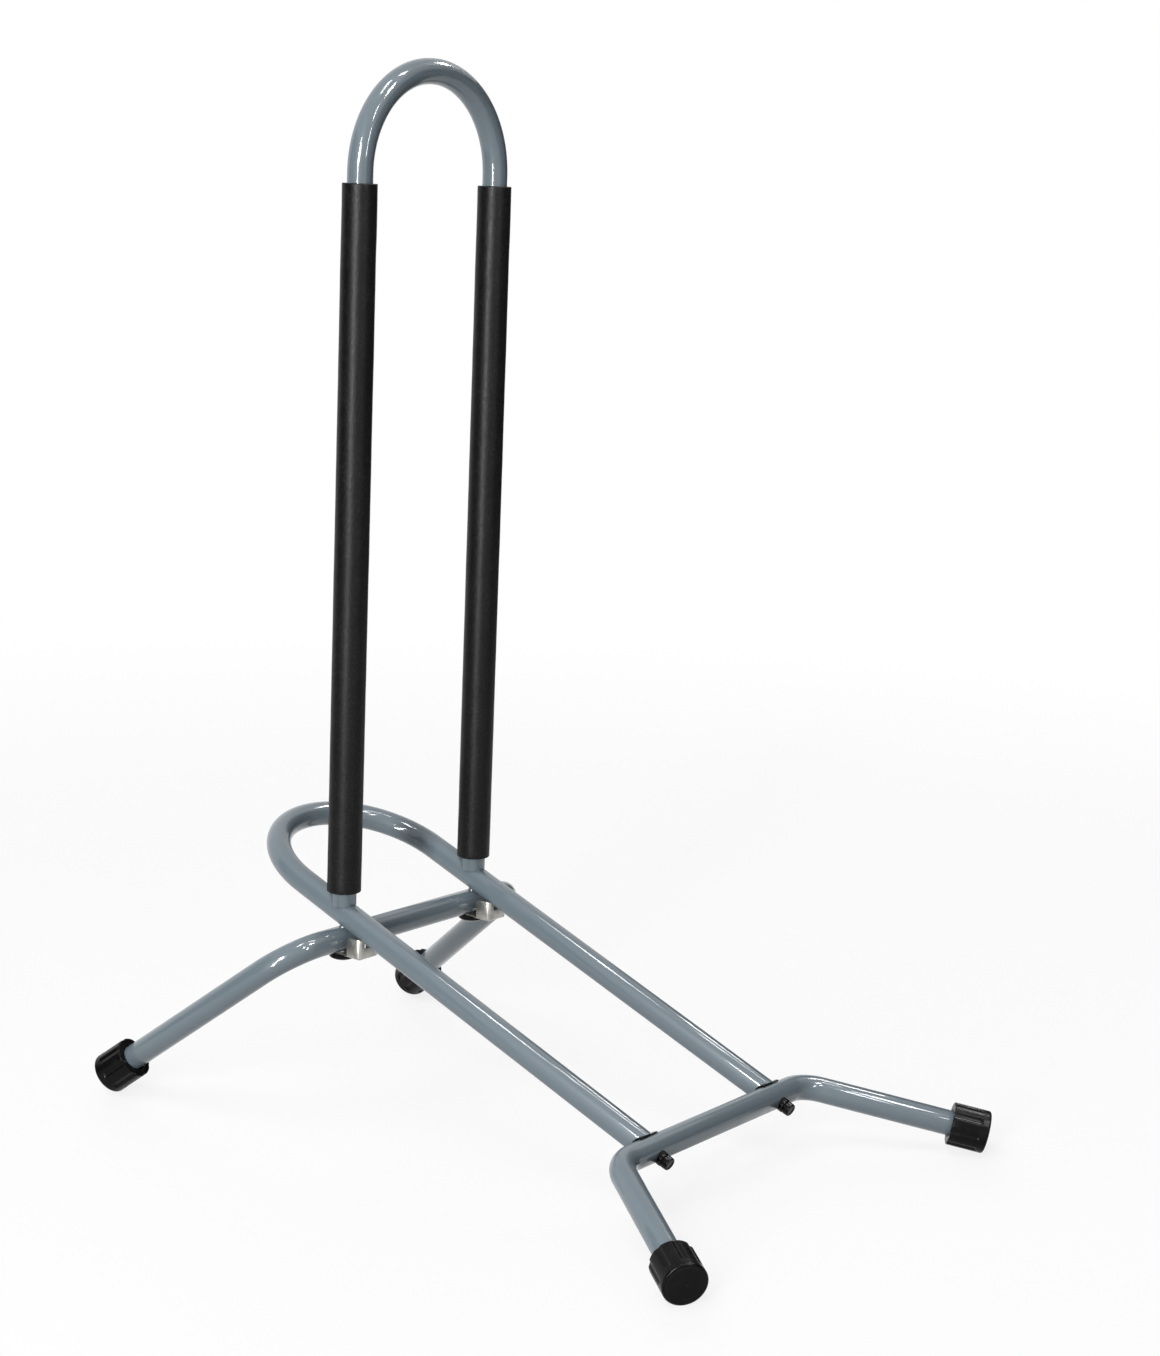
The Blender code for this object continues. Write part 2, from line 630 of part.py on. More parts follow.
def cut_clip(clip, side, name, mesh, view, operation):
    cutter = add_cutter(f"clip_{name}_{side}", mesh)
    place_clip_shape(cutter, side, view)
    cut(clip, cutter, operation)


def build():
    rear_cutters = []
    for side in SIDES:
        reach = FRAME_CROWN_Z - REAR_LEG_Z + TUBE_RADIUS
        rear_cutters.append(bolt_cutter(f"rear_bolt_cutter_{side}", rear_axis_point(side), DOWN, reach))
    front_cutters = []
    for side in SIDES:
        reach = SADDLE_SEAT_RADIUS + SADDLE_THICKNESS
        front_cutters.append(bolt_cutter(f"front_bolt_cutter_{side}", front_axis_point(side),
                                         FRAME_FORWARD, reach))
    make_base_frame(rear_cutters)
    make_hoop()
    make_cross_leg("front", FRONT_FOOT_AXIS, FRONT_FOOT_LENGTH, FRONT_BEND_RADIUS, front_cutters)
    make_cross_leg("rear", REAR_FOOT_AXIS, REAR_FOOT_LENGTH, REAR_BEND_RADIUS, rear_cutters)
    make_caps("front", FRONT_FOOT_AXIS, FRONT_FOOT_LENGTH)
    make_caps("rear", REAR_FOOT_AXIS, REAR_FOOT_LENGTH)
    for side, front_cutter, rear_cutter in zip(SIDES, front_cutters, rear_cutters):
        make_sleeve(side)
        make_front_joint(side, front_cutter)
        make_rear_joint(side, rear_cutter)


build()
print(f"{len(parts.objects)} pieces, middle of the uprights at x = {UPRIGHT_X * 1000:.1f} mm")
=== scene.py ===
import math

import bmesh
import bpy
from mathutils import Matrix, Vector


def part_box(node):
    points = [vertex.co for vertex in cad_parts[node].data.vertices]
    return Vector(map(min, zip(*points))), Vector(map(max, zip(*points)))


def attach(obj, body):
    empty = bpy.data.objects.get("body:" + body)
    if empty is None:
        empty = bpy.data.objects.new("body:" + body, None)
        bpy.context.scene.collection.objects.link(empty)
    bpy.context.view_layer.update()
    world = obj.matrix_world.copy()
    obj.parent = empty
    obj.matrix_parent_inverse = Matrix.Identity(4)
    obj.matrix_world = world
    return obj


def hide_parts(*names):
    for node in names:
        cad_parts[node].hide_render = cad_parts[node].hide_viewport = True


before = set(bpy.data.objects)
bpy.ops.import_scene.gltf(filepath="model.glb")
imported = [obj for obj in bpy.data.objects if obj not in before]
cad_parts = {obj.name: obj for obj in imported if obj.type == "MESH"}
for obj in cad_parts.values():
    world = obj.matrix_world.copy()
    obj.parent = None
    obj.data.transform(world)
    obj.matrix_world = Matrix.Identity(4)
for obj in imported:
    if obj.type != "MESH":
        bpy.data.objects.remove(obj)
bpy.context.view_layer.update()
print("frame loaded:", len(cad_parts), "solids")

# Sizes that the pieces share with the solids, in metres and degrees
stand = {
    "tubeRadius": 0.0095,
    "tubeWall": 0.0015,
    "frameSlope": 20.3,
    "frameLength": 0.297,
    "frameTail": 0.044,
    "seatGap": 0.0003,
    "boltHoleRadius": 0.0033,
}

# How meshes are welded, cut, shaded and softened
meshCare = {
    "weldDistance": 0.00001,
    "sharpAngle": 32,
    "softSteps": 2,
    "softAngle": 50,
    "cutterSides": 96,
    "boltHoleSides": 48,
}


class Field:
    # a socket that does sums: each operator adds its Math node

    def __init__(self, tree, socket=None):
        self.tree = tree
        self.socket = socket

    def node(self, kind, settings=None, sockets=None, output=0):
        made = self.tree.nodes.new(kind)
        for name, value in (settings or {}).items():
            if name == "stops":
                setStops(made.color_ramp, value)
            else:
                setattr(made, name, value)
        for name, value in (sockets or {}).items():
            self.feed(made.inputs[name], value)
        return Field(self.tree, made.outputs[output])

    def feed(self, socket, value):
        if isinstance(value, Field):
            self.tree.links.new(value.socket, socket)
        else:
            socket.default_value = value

    def outputs(self):
        # all the outputs of the node behind this one
        return [Field(self.tree, socket) for socket in self.socket.node.outputs]

    def sum(self, operation, *values):
        return self.node("ShaderNodeMath", {"operation": operation}, dict(enumerate(values)))

    def mixColour(self, factor, first, second):
        # sockets 6 and 7 of a Mix node are its two colours, and output 2 its colour
        return self.node("ShaderNodeMix", {"data_type": "RGBA"}, {0: factor, 6: first, 7: second}, 2)

    def __add__(self, other):
        return self.sum("ADD", self, other)

    def __radd__(self, other):
        return self.sum("ADD", other, self)

    def __sub__(self, other):
        return self.sum("SUBTRACT", self, other)

    def __rsub__(self, other):
        return self.sum("SUBTRACT", other, self)

    def __mul__(self, other):
        return self.sum("MULTIPLY", self, other)

    def __rmul__(self, other):
        return self.sum("MULTIPLY", other, self)

    def __truediv__(self, other):
        return self.sum("DIVIDE", self, other)


def setStops(ramp, stops):
    while len(ramp.elements) < len(stops):
        ramp.elements.new(1.0)
    for element, (place, level) in zip(ramp.elements, stops):
        element.position = place
        element.color = (level, level, level, 1)


def startMaterial(name):
    material = bpy.data.materials.new(name)
    material.use_nodes = True
    tree = material.node_tree
    return material, Field(tree), tree.nodes["Principled BSDF"]


def objectPlace(field):
    # output 3 of Texture Coordinate is Object
    return field.node("ShaderNodeTexCoord", output=3)


def noise(field, scale, detail=3.0, roughness=0.5, stretch=None):
    place = objectPlace(field)
    if stretch:
        place = field.node("ShaderNodeMapping", {}, {"Vector": place, "Scale": stretch})
    return field.node("ShaderNodeTexNoise", {},
                      {"Vector": place, "Scale": scale, "Detail": detail, "Roughness": roughness})


def ramp(field, value, stops):
    return field.node("ShaderNodeValToRGB", {"stops": stops}, {"Fac": value})


def bump(field, height, distance, strength=1.0, under=None):
    sockets = {"Height": height, "Distance": distance, "Strength": strength}
    if under is not None:
        sockets["Normal"] = under
    return field.node("ShaderNodeBump", {}, sockets)


paintLook = {
    "colour": (0.168, 0.211, 0.241, 1),
    "thinColour": (0.140, 0.180, 0.208, 1),
    "cloudScale": 9,
    "cloudShare": 0.40,
    "speckScale": 1500,
    "speckShare": 0.35,
    "specular": 0.12,
    "roughness": 0.34,
    "roughnessSpread": 0.16,
    "rubScale": 60,
    "coat": 0.75,
    "coatWear": 0.25,
    "coatRoughness": 0.05,
    "peelScale": 420,
    "peelHeight": 0.0000025,
    "waveScale": 30,
    "waveHeight": 0.00003,
}


def slatePaint():
    # powder coat: fine orange peel over slow waves in the tube, with a trace of darker specks
    look = paintLook
    material, field, shader = startMaterial("slate_paint_look")
    shader.inputs["Specular IOR Level"].default_value = look["specular"]
    shader.inputs["Coat Roughness"].default_value = look["coatRoughness"]
    cloud = noise(field, look["cloudScale"], 2.0)
    specks = ramp(field, noise(field, look["speckScale"], 2.0), [(0.30, 1), (0.38, 0)])
    thin = cloud * look["cloudShare"] + specks * look["speckShare"]
    field.feed(shader.inputs["Base Color"], field.mixColour(thin, look["colour"], look["thinColour"]))
    rub = noise(field, look["rubScale"], 5.0, 0.65)
    field.feed(shader.inputs["Roughness"], look["roughness"] + (rub - 0.5) * look["roughnessSpread"])
    worn = ramp(field, rub, [(0.56, 0), (0.75, 1)])
    field.feed(shader.inputs["Coat Weight"], look["coat"] - worn * look["coatWear"])
    waves = bump(field, noise(field, look["waveScale"], 1.0), look["waveHeight"])
    peel = bump(field, noise(field, look["peelScale"], 2.0), look["peelHeight"], under=waves)
    field.feed(shader.inputs["Normal"], peel)
    return material


foamLook = {
    "colour": (0.0026, 0.0026, 0.0029, 1),
    "paleColour": (0.0150, 0.0150, 0.0156, 1),
    "bloomScale": 55,
    "bloomShare": 0.20,
    "grainScale": 520,
    "grainShare": 0.35,
    "specular": 0.56,
    "refraction": 1.23,
    "roughness": 0.42,
    "roughnessSpread": 0.24,
    "poreScale": 1500,
    "poreHeight": 0.000014,
    "poreStrength": 0.7,
    "skinScale": 620,
    "skinStretch": (1.0, 1.0, 0.45),
    "skinHeight": 0.000120,
}


def blackFoam():
    # closed-cell foam: a thin wrinkled skin, pores that show as a grain, and a pale bloom in patches
    look = foamLook
    material, field, shader = startMaterial("black_foam_look")
    shader.inputs["Specular IOR Level"].default_value = look["specular"]
    shader.inputs["IOR"].default_value = look["refraction"]
    cells = field.node("ShaderNodeTexVoronoi", {"feature": "F1"},
                       {"Vector": objectPlace(field), "Scale": look["poreScale"]})
    skin = noise(field, look["skinScale"], 4.0, stretch=look["skinStretch"])
    bloom = ramp(field, noise(field, look["bloomScale"], 4.0, 0.6), [(0.42, 0), (0.72, 1)])
    grain = ramp(field, noise(field, look["grainScale"], 2.0), [(0.48, 0), (0.66, 1)])
    # the grain shows most where the bloom lies
    pale = bloom * look["bloomShare"] + grain * (look["grainShare"] + bloom * look["grainShare"])
    field.feed(shader.inputs["Base Color"], field.mixColour(pale, look["colour"], look["paleColour"]))
    field.feed(shader.inputs["Roughness"], look["roughness"] + (skin - 0.5) * look["roughnessSpread"])
    wrinkles = bump(field, skin, look["skinHeight"])
    pores = bump(field, cells, look["poreHeight"], look["poreStrength"], wrinkles)
    field.feed(shader.inputs["Normal"], pores)
    return material


rubberLook = {
    "colour": (0.0034, 0.0034, 0.0037, 1),
    "dullColour": (0.0080, 0.0079, 0.0082, 1),
    "patchScale": 90,
    "dullShare": 0.7,
    "specular": 0.45,
    "refraction": 1.2,
    "roughness": 0.24,
    "dullRoughness": 0.16,
    "flowScale": 140,
    "flowHeight": 0.00004,
    "grainScale": 1100,
    "grainHeight": 0.000008,
}


def blackRubber():
    # moulded rubber: satin, a fine spark-eroded grain, and dull patches where it has been handled
    look = rubberLook
    material, field, shader = startMaterial("black_rubber_look")
    shader.inputs["Specular IOR Level"].default_value = look["specular"]
    shader.inputs["IOR"].default_value = look["refraction"]
    patches = ramp(field, noise(field, look["patchScale"], 5.0, 0.62), [(0.45, 0), (0.72, 1)])
    field.feed(shader.inputs["Base Color"],
               field.mixColour(patches * look["dullShare"], look["colour"], look["dullColour"]))
    field.feed(shader.inputs["Roughness"], look["roughness"] + patches * look["dullRoughness"])
    flow = bump(field, noise(field, look["flowScale"], 2.0), look["flowHeight"])
    grain = bump(field, noise(field, look["grainScale"], 3.0), look["grainHeight"], under=flow)
    field.feed(shader.inputs["Normal"], grain)
    return material


plasticLook = {
    "colour": (0.0020, 0.0020, 0.0021, 1),
    "scuffColour": (0.0080, 0.0080, 0.0083, 1),
    "scuffScale": 380,
    "scuffShare": 0.5,
    "specular": 0.60,
    "refraction": 1.2,
    "roughness": 0.16,
    "scuffRoughness": 0.25,
    "grainScale": 700,
    "grainHeight": 0.000008,
}


def blackPlastic():
    # moulded plastic: glossy, with fine scuffs
    look = plasticLook
    material, field, shader = startMaterial("black_plastic_look")
    shader.inputs["Specular IOR Level"].default_value = look["specular"]
    shader.inputs["IOR"].default_value = look["refraction"]
    scuff = ramp(field, noise(field, look["scuffScale"], 6.0, 0.7), [(0.60, 0), (0.76, 1)])
    field.feed(shader.inputs["Base Color"],
               field.mixColour(scuff * look["scuffShare"], look["colour"], look["scuffColour"]))
    field.feed(shader.inputs["Roughness"], look["roughness"] + scuff * look["scuffRoughness"])
    grain = bump(field, noise(field, look["grainScale"], 2.0), look["grainHeight"])
    field.feed(shader.inputs["Normal"], grain)
    return material


zincLook = {
    "colour": (0.400, 0.392, 0.366, 1),
    "dullColour": (0.250, 0.245, 0.228, 1),
    "roughness": 0.34,
}
steelLook = {
    "colour": (0.540, 0.545, 0.560, 1),
    "dullColour": (0.380, 0.380, 0.385, 1),
    "roughness": 0.26,
}
platingLook = {
    "cloudScale": 160,
    "cloudRoughness": 0.12,
    "lineScale": 500,
    "lineStretch": (1.0, 1.0, 0.06),
    "lineRoughness": 0.12,
    "lineHeight": 0.00003,
}


def platedMetal(name, look):
    # plated metal: cloudy bloom, and faint drawing lines from the press
    plating = platingLook
    material, field, shader = startMaterial(name)
    shader.inputs["Metallic"].default_value = 1.0
    cloud = ramp(field, noise(field, plating["cloudScale"], 4.0, 0.6), [(0.36, 0), (0.68, 1)])
    lines = noise(field, plating["lineScale"], 3.0, stretch=plating["lineStretch"])
    field.feed(shader.inputs["Base Color"], field.mixColour(cloud, look["colour"], look["dullColour"]))
    bloom = cloud * plating["cloudRoughness"] + (lines - 0.5) * plating["lineRoughness"]
    field.feed(shader.inputs["Roughness"], look["roughness"] + bloom)
    field.feed(shader.inputs["Normal"], bump(field, lines, plating["lineHeight"]))
    return material


paint = slatePaint()
foam = blackFoam()
rubber = blackRubber()
plastic = blackPlastic()
zinc = platedMetal("zinc_plate_look", zincLook)
steel = platedMetal("bright_steel_look", steelLook)
print("finishes made")


def startTree(name, sizes, counts=()):
    # a tree with a geometry input, named sizes and counts, and the material that it paints with
    tree = bpy.data.node_groups.new(name, "GeometryNodeTree")
    tree.interface.new_socket("Geometry", in_out="OUTPUT", socket_type="NodeSocketGeometry")
    kinds = {"Geometry": "NodeSocketGeometry", **dict.fromkeys(sizes, "NodeSocketFloat"),
             **dict.fromkeys(counts, "NodeSocketInt"), "Material": "NodeSocketMaterial"}
    for label, kind in kinds.items():
        tree.interface.new_socket(label, in_out="INPUT", socket_type=kind)
    entry = tree.nodes.new("NodeGroupInput")
    given = {socket.name: Field(tree, socket) for socket in entry.outputs if socket.name}
    return tree, Field(tree), given


def endTree(field, geometry, material):
    realised = field.node("GeometryNodeRealizeInstances", {}, {"Geometry": geometry})
    painted = field.node("GeometryNodeSetMaterial", {}, {"Geometry": realised, "Material": material})
    leaving = field.tree.nodes.new("NodeGroupOutput")
    field.feed(leaving.inputs[0], painted)


def tubeTree():
    # the corners of the path are bent to the radius and a circle is swept along them
    tree, field, given = startTree("bent tube", ["Bend radius", "Tube radius"],
                                   ["Bend steps", "Tube sides"])
    bent = field.node("GeometryNodeFilletCurve", {"mode": "POLY"}, {
        "Curve": given["Geometry"], "Count": given["Bend steps"], "Radius": given["Bend radius"]})
    ring = field.node("GeometryNodeCurvePrimitiveCircle", {},
                      {"Resolution": given["Tube sides"], "Radius": given["Tube radius"]})
    swept = field.node("GeometryNodeCurveToMesh", {}, {"Curve": bent, "Profile Curve": ring})
    endTree(field, swept, given["Material"])
    return tree


def fluteTree():
    # each point of the cap's side is drawn in to the surface of the nearest round flute
    tree, field, given = startTree("cap flutes", [
        "Flute count", "Flute radius", "Flute depth", "Cap radius", "Flute end", "End taper"])
    place = field.node("GeometryNodeInputPosition")
    x, y, z = field.node("ShaderNodeSeparateXYZ", {}, {0: place}).outputs()
    # a radius of zero is kept out, because the last step divides by it
    radius = field.sum("MAXIMUM", field.sum("SQRT", x * x + y * y), 0.000001)
    turn = field.sum("ARCTAN2", y, x) / (2 * math.pi)
    # how far the point lies from the middle of the nearest flute, in flutes and then as an angle
    phase = field.sum("FRACT", turn * given["Flute count"] + 0.5) - 0.5
    angle = phase / given["Flute count"] * (2 * math.pi)
    centre = given["Cap radius"] + given["Flute radius"] - given["Flute depth"]
    offset = centre * field.sum("SINE", angle)
    room = given["Flute radius"] * given["Flute radius"] - offset * offset
    wall = centre * field.sum("COSINE", angle) - field.sum("SQRT", field.sum("MAXIMUM", room, 0.0))
    inFlute = field.sum("GREATER_THAN", room, 0.0)
    drawnIn = field.sum("MAXIMUM", radius - wall, 0.0) * inFlute
    share = field.node("ShaderNodeMapRange", {"interpolation_type": "SMOOTHSTEP"},
                       {"Value": (given["Flute end"] - z) / given["End taper"]})
    scale = (radius - drawnIn * share) / radius
    moved = field.node("ShaderNodeCombineXYZ", {}, {0: x * scale, 1: y * scale, 2: z})
    shaped = field.node("GeometryNodeSetPosition", {}, {"Geometry": given["Geometry"], "Position": moved})
    endTree(field, shaped, given["Material"])
    return tree


def foamTree():
    # the outside of a sleeve swells and dips a little, and its bore stays true to the tube
    tree, field, given = startTree("foam skin", [
        "Swell", "Swell scale", "Swell level", "Bore", "Outside"])
    place = field.node("GeometryNodeInputPosition")
    x, y = field.node("ShaderNodeSeparateXYZ", {}, {0: place}).outputs()[:2]
    radius = field.sum("SQRT", x * x + y * y)
    outward = field.node("ShaderNodeMapRange", {},
                         {"Value": radius, "From Min": given["Bore"], "From Max": given["Outside"]})
    lumps = field.node("ShaderNodeTexNoise", {},
                       {"Vector": place, "Scale": given["Swell scale"], "Detail": 2.0})
    height = (lumps - given["Swell level"]) * given["Swell"] * outward
    away = field.node("ShaderNodeVectorMath", {"operation": "NORMALIZE"},
                      {0: field.node("ShaderNodeCombineXYZ", {}, {0: x, 1: y})})
    step = field.node("ShaderNodeVectorMath", {"operation": "SCALE"}, {0: away, "Scale": height})
    shaped = field.node("GeometryNodeSetPosition", {}, {"Geometry": given["Geometry"], "Offset": step})
    endTree(field, shaped, given["Material"])
    return tree


bentTube = tubeTree()
capFlutes = fluteTree()
foamSkin = foamTree()
print("geometry trees made")


def newObject(name, data):
    item = bpy.data.objects.new(name, data)
    bpy.context.scene.collection.objects.link(item)
    return item


def takeMesh(item):
    # the evaluated shape as a plain mesh; the object that carried the modifiers goes
    depsgraph = bpy.context.evaluated_depsgraph_get()
    mesh = bpy.data.meshes.new_from_object(item.evaluated_get(depsgraph))
    bpy.data.objects.remove(item, do_unlink=True)
    return mesh


def grow(data, tree, values):
    item = newObject("bench", data)
    modifier = item.modifiers.new(tree.name, "NODES")
    modifier.node_group = tree
    for socket in tree.interface.items_tree:
        if socket.in_out == "INPUT" and socket.name in values:
            modifier[socket.identifier] = values[socket.name]
    return takeMesh(item)


def meshFrom(shape, name):
    mesh = bpy.data.meshes.new(name)
    shape.to_mesh(mesh)
    shape.free()
    return mesh


def tidyMesh(mesh, turnOut=False):
    shape = bmesh.new()
    shape.from_mesh(mesh)
    weld = meshCare["weldDistance"]
    bmesh.ops.remove_doubles(shape, verts=shape.verts, dist=weld)
    bmesh.ops.dissolve_degenerate(shape, edges=shape.edges, dist=weld / 10)
    if turnOut:
        bmesh.ops.recalc_face_normals(shape, faces=shape.faces)
    shape.to_mesh(mesh)
    shape.free()
    return mesh


def cornerPath(corners):
    curve = bpy.data.curves.new("path", "CURVE")
    curve.dimensions = "3D"
    spline = curve.splines.new("POLY")
    spline.points.add(len(corners) - 1)
    for point, corner in zip(spline.points, corners):
        point.co = (*corner, 1)
    return curve


def facing(direction, place):
    # local +Z along the direction, local +Y as near to upright as it can be
    return Matrix.Translation(place) @ direction.to_track_quat("Z", "Y").to_matrix().to_4x4()


def cylinder(radius, length, place, direction, segments=meshCare["cutterSides"]):
    shape = bmesh.new()
    bmesh.ops.create_cone(shape, cap_ends=True, segments=segments, radius1=radius, radius2=radius,
                          depth=length)
    mesh = meshFrom(shape, "cylinder")
    mesh.transform(facing(direction, place))
    return mesh


def boltHole(place, direction, length):
    return cylinder(stand["boltHoleRadius"], length, place, direction, meshCare["boltHoleSides"])


def cutBy(mesh, cutters, operation="DIFFERENCE"):
    item = newObject("bench", mesh)
    tools = [newObject("cutter", cutter) for cutter in cutters]
    for tool in tools:
        boolean = item.modifiers.new("cut", "BOOLEAN")
        boolean.operation = operation
        boolean.solver = "EXACT"
        boolean.object = tool
    result = takeMesh(item)
    for tool in tools:
        bpy.data.objects.remove(tool, do_unlink=True)
    return tidyMesh(result)


def softenEdges(mesh, width):
    item = newObject("bench", mesh)
    bevel = item.modifiers.new("soften", "BEVEL")
    bevel.width = width
    bevel.segments = meshCare["softSteps"]
    bevel.limit_method = "ANGLE"
    bevel.angle_limit = math.radians(meshCare["softAngle"])
    bevel.harden_normals = False
    return takeMesh(item)


def thicken(mesh, thickness, offset):
    item = newObject("bench", mesh)
    wall = item.modifiers.new("wall", "SOLIDIFY")
    wall.thickness = thickness
    wall.offset = offset
    wall.use_even_offset = True
    return takeMesh(item)


def rounded(corners, steps=6):
    # (x, y, radius) corners to points, each corner with a radius turned into an arc
    points = []
    for index, (x, y, radius) in enumerate(corners):
        here = Vector((x, y))
        if radius == 0 or index in (0, len(corners) - 1):
            points.append(here)
            continue
        before = (Vector(corners[index - 1][:2]) - here).normalized()
        after = (Vector(corners[index + 1][:2]) - here).normalized()
        half = before.angle(after) / 2
        centre = here + (before + after).normalized() * radius / math.sin(half)
        start = here + before * radius / math.tan(half) - centre
        end = here + after * radius / math.tan(half) - centre
        turn = start.angle_signed(end)
        for step in range(steps + 1):
            arm = start.copy()
            arm.rotate(Matrix.Rotation(-turn * step / steps, 2))
            points.append(centre + arm)
    return points


def spread(points, longest):
    # the same line with no stretch longer than the one given
    line = [points[0]]
    for point in points[1:]:
        count = max(1, math.ceil((point - line[-1]).length / longest))
        start = line[-1]
        line += [start.lerp(point, share / count) for share in range(1, count + 1)]
    return line


def turnedMesh(points, segments, closed):
    # points are (distance from the axis, height); a closed profile is a ring with a bore
    shape = bmesh.new()
    verts = [shape.verts.new((point.x, 0, point.y)) for point in points]
    edges = [shape.edges.new(pair) for pair in zip(verts, verts[1:])]
    if closed:
        edges.append(shape.edges.new((verts[-1], verts[0])))
    bmesh.ops.spin(shape, geom=verts + edges, cent=(0, 0, 0), axis=(0, 0, 1), angle=2 * math.pi,
                   steps=segments, use_merge=True)
    return tidyMesh(meshFrom(shape, "turned"), turnOut=True)


def plateMesh(outline, along):
    # a flat outline extruded by the length given, half of it to each side
    shape = bmesh.new()
    half = Vector(along) / 2
    face = shape.faces.new([shape.verts.new(Vector(point) - half) for point in outline])
    grown = bmesh.ops.extrude_face_region(shape, geom=[face])
    moved = [item for item in grown["geom"] if isinstance(item, bmesh.types.BMVert)]
    bmesh.ops.translate(shape, verts=moved, vec=along)
    bmesh.ops.recalc_face_normals(shape, faces=shape.faces)
    return meshFrom(shape, "plate")


def ribbonMesh(points, width, columns):
    # a strip of sheet that follows the points in X and Z, as wide as the width along Y
    shape = bmesh.new()
    rows = []
    for column in range(columns + 1):
        y = width * (column / columns - 0.5)
        rows.append([shape.verts.new((point.x, y, point.y)) for point in points])
    for near, far in zip(rows, rows[1:]):
        for index in range(len(points) - 1):
            shape.faces.new((near[index], near[index + 1], far[index + 1], far[index]))
    return meshFrom(shape, "ribbon")


def addPiece(name, mesh, material, slotName, *nodes):
    mesh.name = name
    mesh.materials.clear()
    mesh.materials.append(material)
    for polygon in mesh.polygons:
        polygon.material_index = 0
    mesh.shade_smooth()
    mesh.set_sharp_from_angle(angle=math.radians(meshCare["sharpAngle"]))
    item = newObject(name, mesh)
    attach(item, "root")
    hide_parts(*nodes)
    return item


sleeveLow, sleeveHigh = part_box("foam_sleeve_right")
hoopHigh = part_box("hoop")[1]
tubeRadius = stand["tubeRadius"]
seatRadius = tubeRadius + stand["seatGap"]
slope = math.radians(stand["frameSlope"])
uprightX = (sleeveLow.x + sleeveHigh.x) / 2
uprightY = (sleeveLow.y + sleeveHigh.y) / 2
frontX = uprightX + stand["frameLength"]
forward = Vector((math.cos(slope), 0, -math.sin(slope)))
down = Vector((0, 0, -1))
across = Vector((0, 1, 0))
sides = {"left": -1, "right": 1}

tubeLook = {
    "sides": 72,
    "bendSteps": 40,
    "edgeSoftening": 0.00035,
    "crownFlat": 0.0004,
    "copeDepth": 0.0015,
    "saddleRoom": 0.0013,
    "frontBend": 0.030,
    "frontCornerSpacing": 0.224,
    "frontSplay": 33.7,
    "frontDroop": 11.3,
    "frontFootLength": 0.143,
    "frontHoleLength": 0.0268,
    "rearBend": 0.040,
    "rearCornerSpacing": 0.260,
    "rearSweep": 74,
    "rearDroop": 37.7,
    "rearHoleLength": 0.084,
}
capLook = {
    "radius": 0.016,
    "sides": 168,
    "length": 0.028,
    "endThickness": 0.004,
    "floorRound": 0.0008,
    "edgeRadius": 0.0016,
    "mouthRound": 0.0009,
    "mouthLead": 0.0012,
    "mouthLeadRound": 0.00054,
    "mouthFootRound": 0.0004,
    "rimWidth": 0.0007,
    "rimHeight": 0.00022,
    "rimRadius": 0.0136,
    "rimRound": 0.0003,
    "rimFootRound": 0.0002,
    "gateRadius": 0.0013,
    "gateFloorShare": 0.6,
    "gateDepth": 0.00045,
    "gateRound": 0.0003,
    "arcSteps": 5,
    "ringStep": 0.0009,
    "fluteCount": 8,
    "fluteRadius": 0.0040,
    "fluteDepth": 0.0011,
    "fluteEndBand": 0.006,
    "fluteTaper": 0.0012,
    "solidSides": 24,
    "solidEdgeRadius": 0.0018,
}


def footDirection(ahead, aside, droop):
    level = math.cos(math.radians(droop))
    return Vector((ahead * level, aside * level, -math.sin(math.radians(droop))))


def capEndHeight(direction):
    # how high the middle of a cap's end lies when the end's lower edge touches the floor
    rest = capLook["radius"] * math.cos(math.pi / capLook["solidSides"])
    rounding = capLook["solidEdgeRadius"]
    return (rest - rounding) * math.sqrt(1 - direction.z ** 2) + rounding * (1 + direction.z)


splay = math.radians(tubeLook["frontSplay"])
sweep = math.radians(tubeLook["rearSweep"])
frontFoot = footDirection(math.cos(splay), math.sin(splay), tubeLook["frontDroop"])
rearFoot = footDirection(-math.sin(sweep), math.cos(sweep), tubeLook["rearDroop"])
frontLegZ = capEndHeight(frontFoot) - tubeLook["frontFootLength"] * frontFoot.z
frameZ = frontLegZ + stand["frameLength"] * math.tan(slope)
frameCrownZ = frameZ + seatRadius / math.cos(slope)
rearLegZ = frameZ - (2 * tubeRadius + stand["seatGap"]) / math.cos(slope)
rearFootLength = (rearLegZ - capEndHeight(rearFoot)) / -rearFoot.z
frontCorner = Vector((frontX, tubeLook["frontCornerSpacing"] / 2, frontLegZ))
rearCorner = Vector((uprightX, tubeLook["rearCornerSpacing"] / 2, rearLegZ))


def mirrored(point, sign):
    return Vector((point.x, sign * point.y, point.z))


def boltPlace(corner, sign):
    # where the bolt of one side crosses the cross leg that has this corner
    return Vector((corner.x, sign * uprightY, corner.z))


def bothSides(rightCorners):
    # the corners of the right half, mirrored for the left half
    return [mirrored(corner, -1) for corner in rightCorners][::-1] + rightCorners


def sweptTube(name, corners, bendRadius, cutters, node):
    mesh = grow(cornerPath(corners), bentTube, {
        "Bend radius": bendRadius, "Bend steps": tubeLook["bendSteps"], "Tube radius": tubeRadius,
        "Tube sides": tubeLook["sides"], "Material": paint})
    mesh = thicken(tidyMesh(mesh, turnOut=True), stand["tubeWall"], -1)
    mesh = cutBy(mesh, cutters)
    mesh = softenEdges(mesh, tubeLook["edgeSoftening"])
    addPiece(name, mesh, paint, "slate_paint", node)


